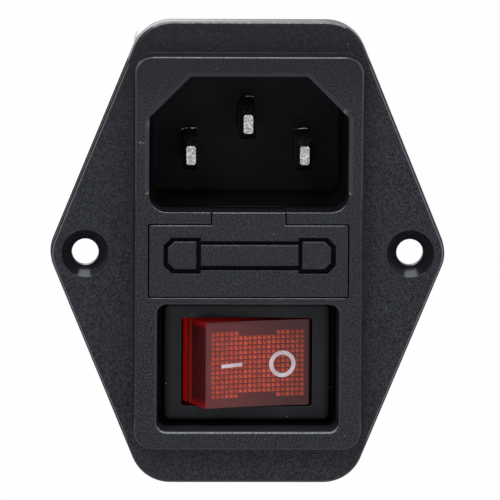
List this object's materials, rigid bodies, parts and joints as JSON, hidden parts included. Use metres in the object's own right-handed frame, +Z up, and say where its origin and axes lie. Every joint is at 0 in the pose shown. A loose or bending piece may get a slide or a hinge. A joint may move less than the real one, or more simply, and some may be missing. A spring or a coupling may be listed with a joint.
{
  "type": "filtered power entry module",
  "caption": "Panel-mount appliance inlet with fuse drawer and lit rocker switch in one moulded flange, with a mains noise filter in a metal can behind it.",
  "frame": {"origin": "midway between the two screw holes, on the rear face of the flange", "axes": "+Z up towards the inlet, +Y into the panel, +X to the right seen from the front"},
  "size_m": [0.0486, 0.0537, 0.0576],
  "materials": {
    "housing_plastic": "fine spark-eroded texture",
    "drawer_plastic": "fine spark-eroded texture",
    "switch_plastic": "smooth, half gloss",
    "rocker_red": "translucent red, glossy",
    "carrier_plastic": "smooth moulded",
    "pin_metal": "nickel-plated brass",
    "spring_metal": "spring metal",
    "contact_metal": "stamped, silver contacts",
    "tab_metal": "tinned brass",
    "can_metal": "nickel-plated steel sheet",
    "liner_film": "plain insulating sheet",
    "board": "glass-fibre laminate",
    "core_ferrite": "coated ferrite",
    "copper_wire": "enamelled copper",
    "x_capacitor_case": "moulded case",
    "y_capacitor_coat": "dipped coat",
    "resistor_coat": "lacquered",
    "fuse_glass": "clear glass",
    "fuse_metal": "nickel-plated caps and wire"
  },
  "bodies": {
    "module": {"housing": "housing_plastic", "line_pin": "pin_metal", "neutral_pin": "pin_metal", "earth_pin": "pin_metal", "fuse_clip_line": "spring_metal", "fuse_clip_load": "spring_metal", "switch_body": "switch_plastic", "switch_fulcrum_line": "contact_metal", "switch_fulcrum_neutral": "contact_metal", "switch_contact_line": "contact_metal", "switch_contact_neutral": "contact_metal", "circuit_board": "board", "choke_core": "core_ferrite", "choke_winding_line": "copper_wire", "choke_winding_neutral": "copper_wire", "choke_divider": "carrier_plastic", "x_capacitor": "x_capacitor_case", "y_capacitor_line": "y_capacitor_coat", "y_capacitor_neutral": "y_capacitor_coat", "bleed_resistor": "resistor_coat", "shield_can": "can_metal", "insulating_liner": "liner_film", "terminal_block": "carrier_plastic", "line_tab": "tab_metal", "neutral_tab": "tab_metal", "earth_tab": "tab_metal", "earth_strap": "can_metal", "earth_rivet": "can_metal"},
    "rocker": {"rocker_cap": "rocker_red", "rocker_carrier": "carrier_plastic", "glow_lamp": "fuse_glass", "lamp_resistor": "resistor_coat", "plunger_line": "carrier_plastic", "plunger_neutral": "carrier_plastic", "plunger_spring_line": "spring_metal", "plunger_spring_neutral": "spring_metal"},
    "blade_line": {"contact_blade_line": "contact_metal"},
    "blade_neutral": {"contact_blade_neutral": "contact_metal"},
    "drawer": {"fuse_drawer": "drawer_plastic", "fuse_tube": "fuse_glass", "fuse_caps": "fuse_metal", "fuse_wire": "fuse_metal", "spare_fuse_tube": "fuse_glass", "spare_fuse_caps": "fuse_metal", "spare_fuse_wire": "fuse_metal"}
  },
  "joints": [
    {"name": "rocker_tilt", "type": "hinge", "parent": "module", "child": "rocker", "pos_m": [0, 0.0037, -0.0139], "axis": [0, 0, 1], "range_deg": [-28, 0]},
    {"name": "blade_line_tilt", "type": "hinge", "parent": "module", "child": "blade_line", "pos_m": [0, 0.01125, -0.011], "axis": [0, 0, 1], "range_deg": [0, 16]},
    {"name": "blade_neutral_tilt", "type": "hinge", "parent": "module", "child": "blade_neutral", "pos_m": [0, 0.01125, -0.0168], "axis": [0, 0, 1], "range_deg": [0, 16]},
    {"name": "drawer_slide", "type": "slide", "parent": "module", "child": "drawer", "axis": [0, -1, 0], "range_m": [0, 0.0148]}
  ],
  "couplings": [
    {"joint": "blade_line_tilt", "follows": "rocker_tilt", "ratio": -0.5714},
    {"joint": "blade_neutral_tilt", "follows": "rocker_tilt", "ratio": -0.5714}
  ]
}
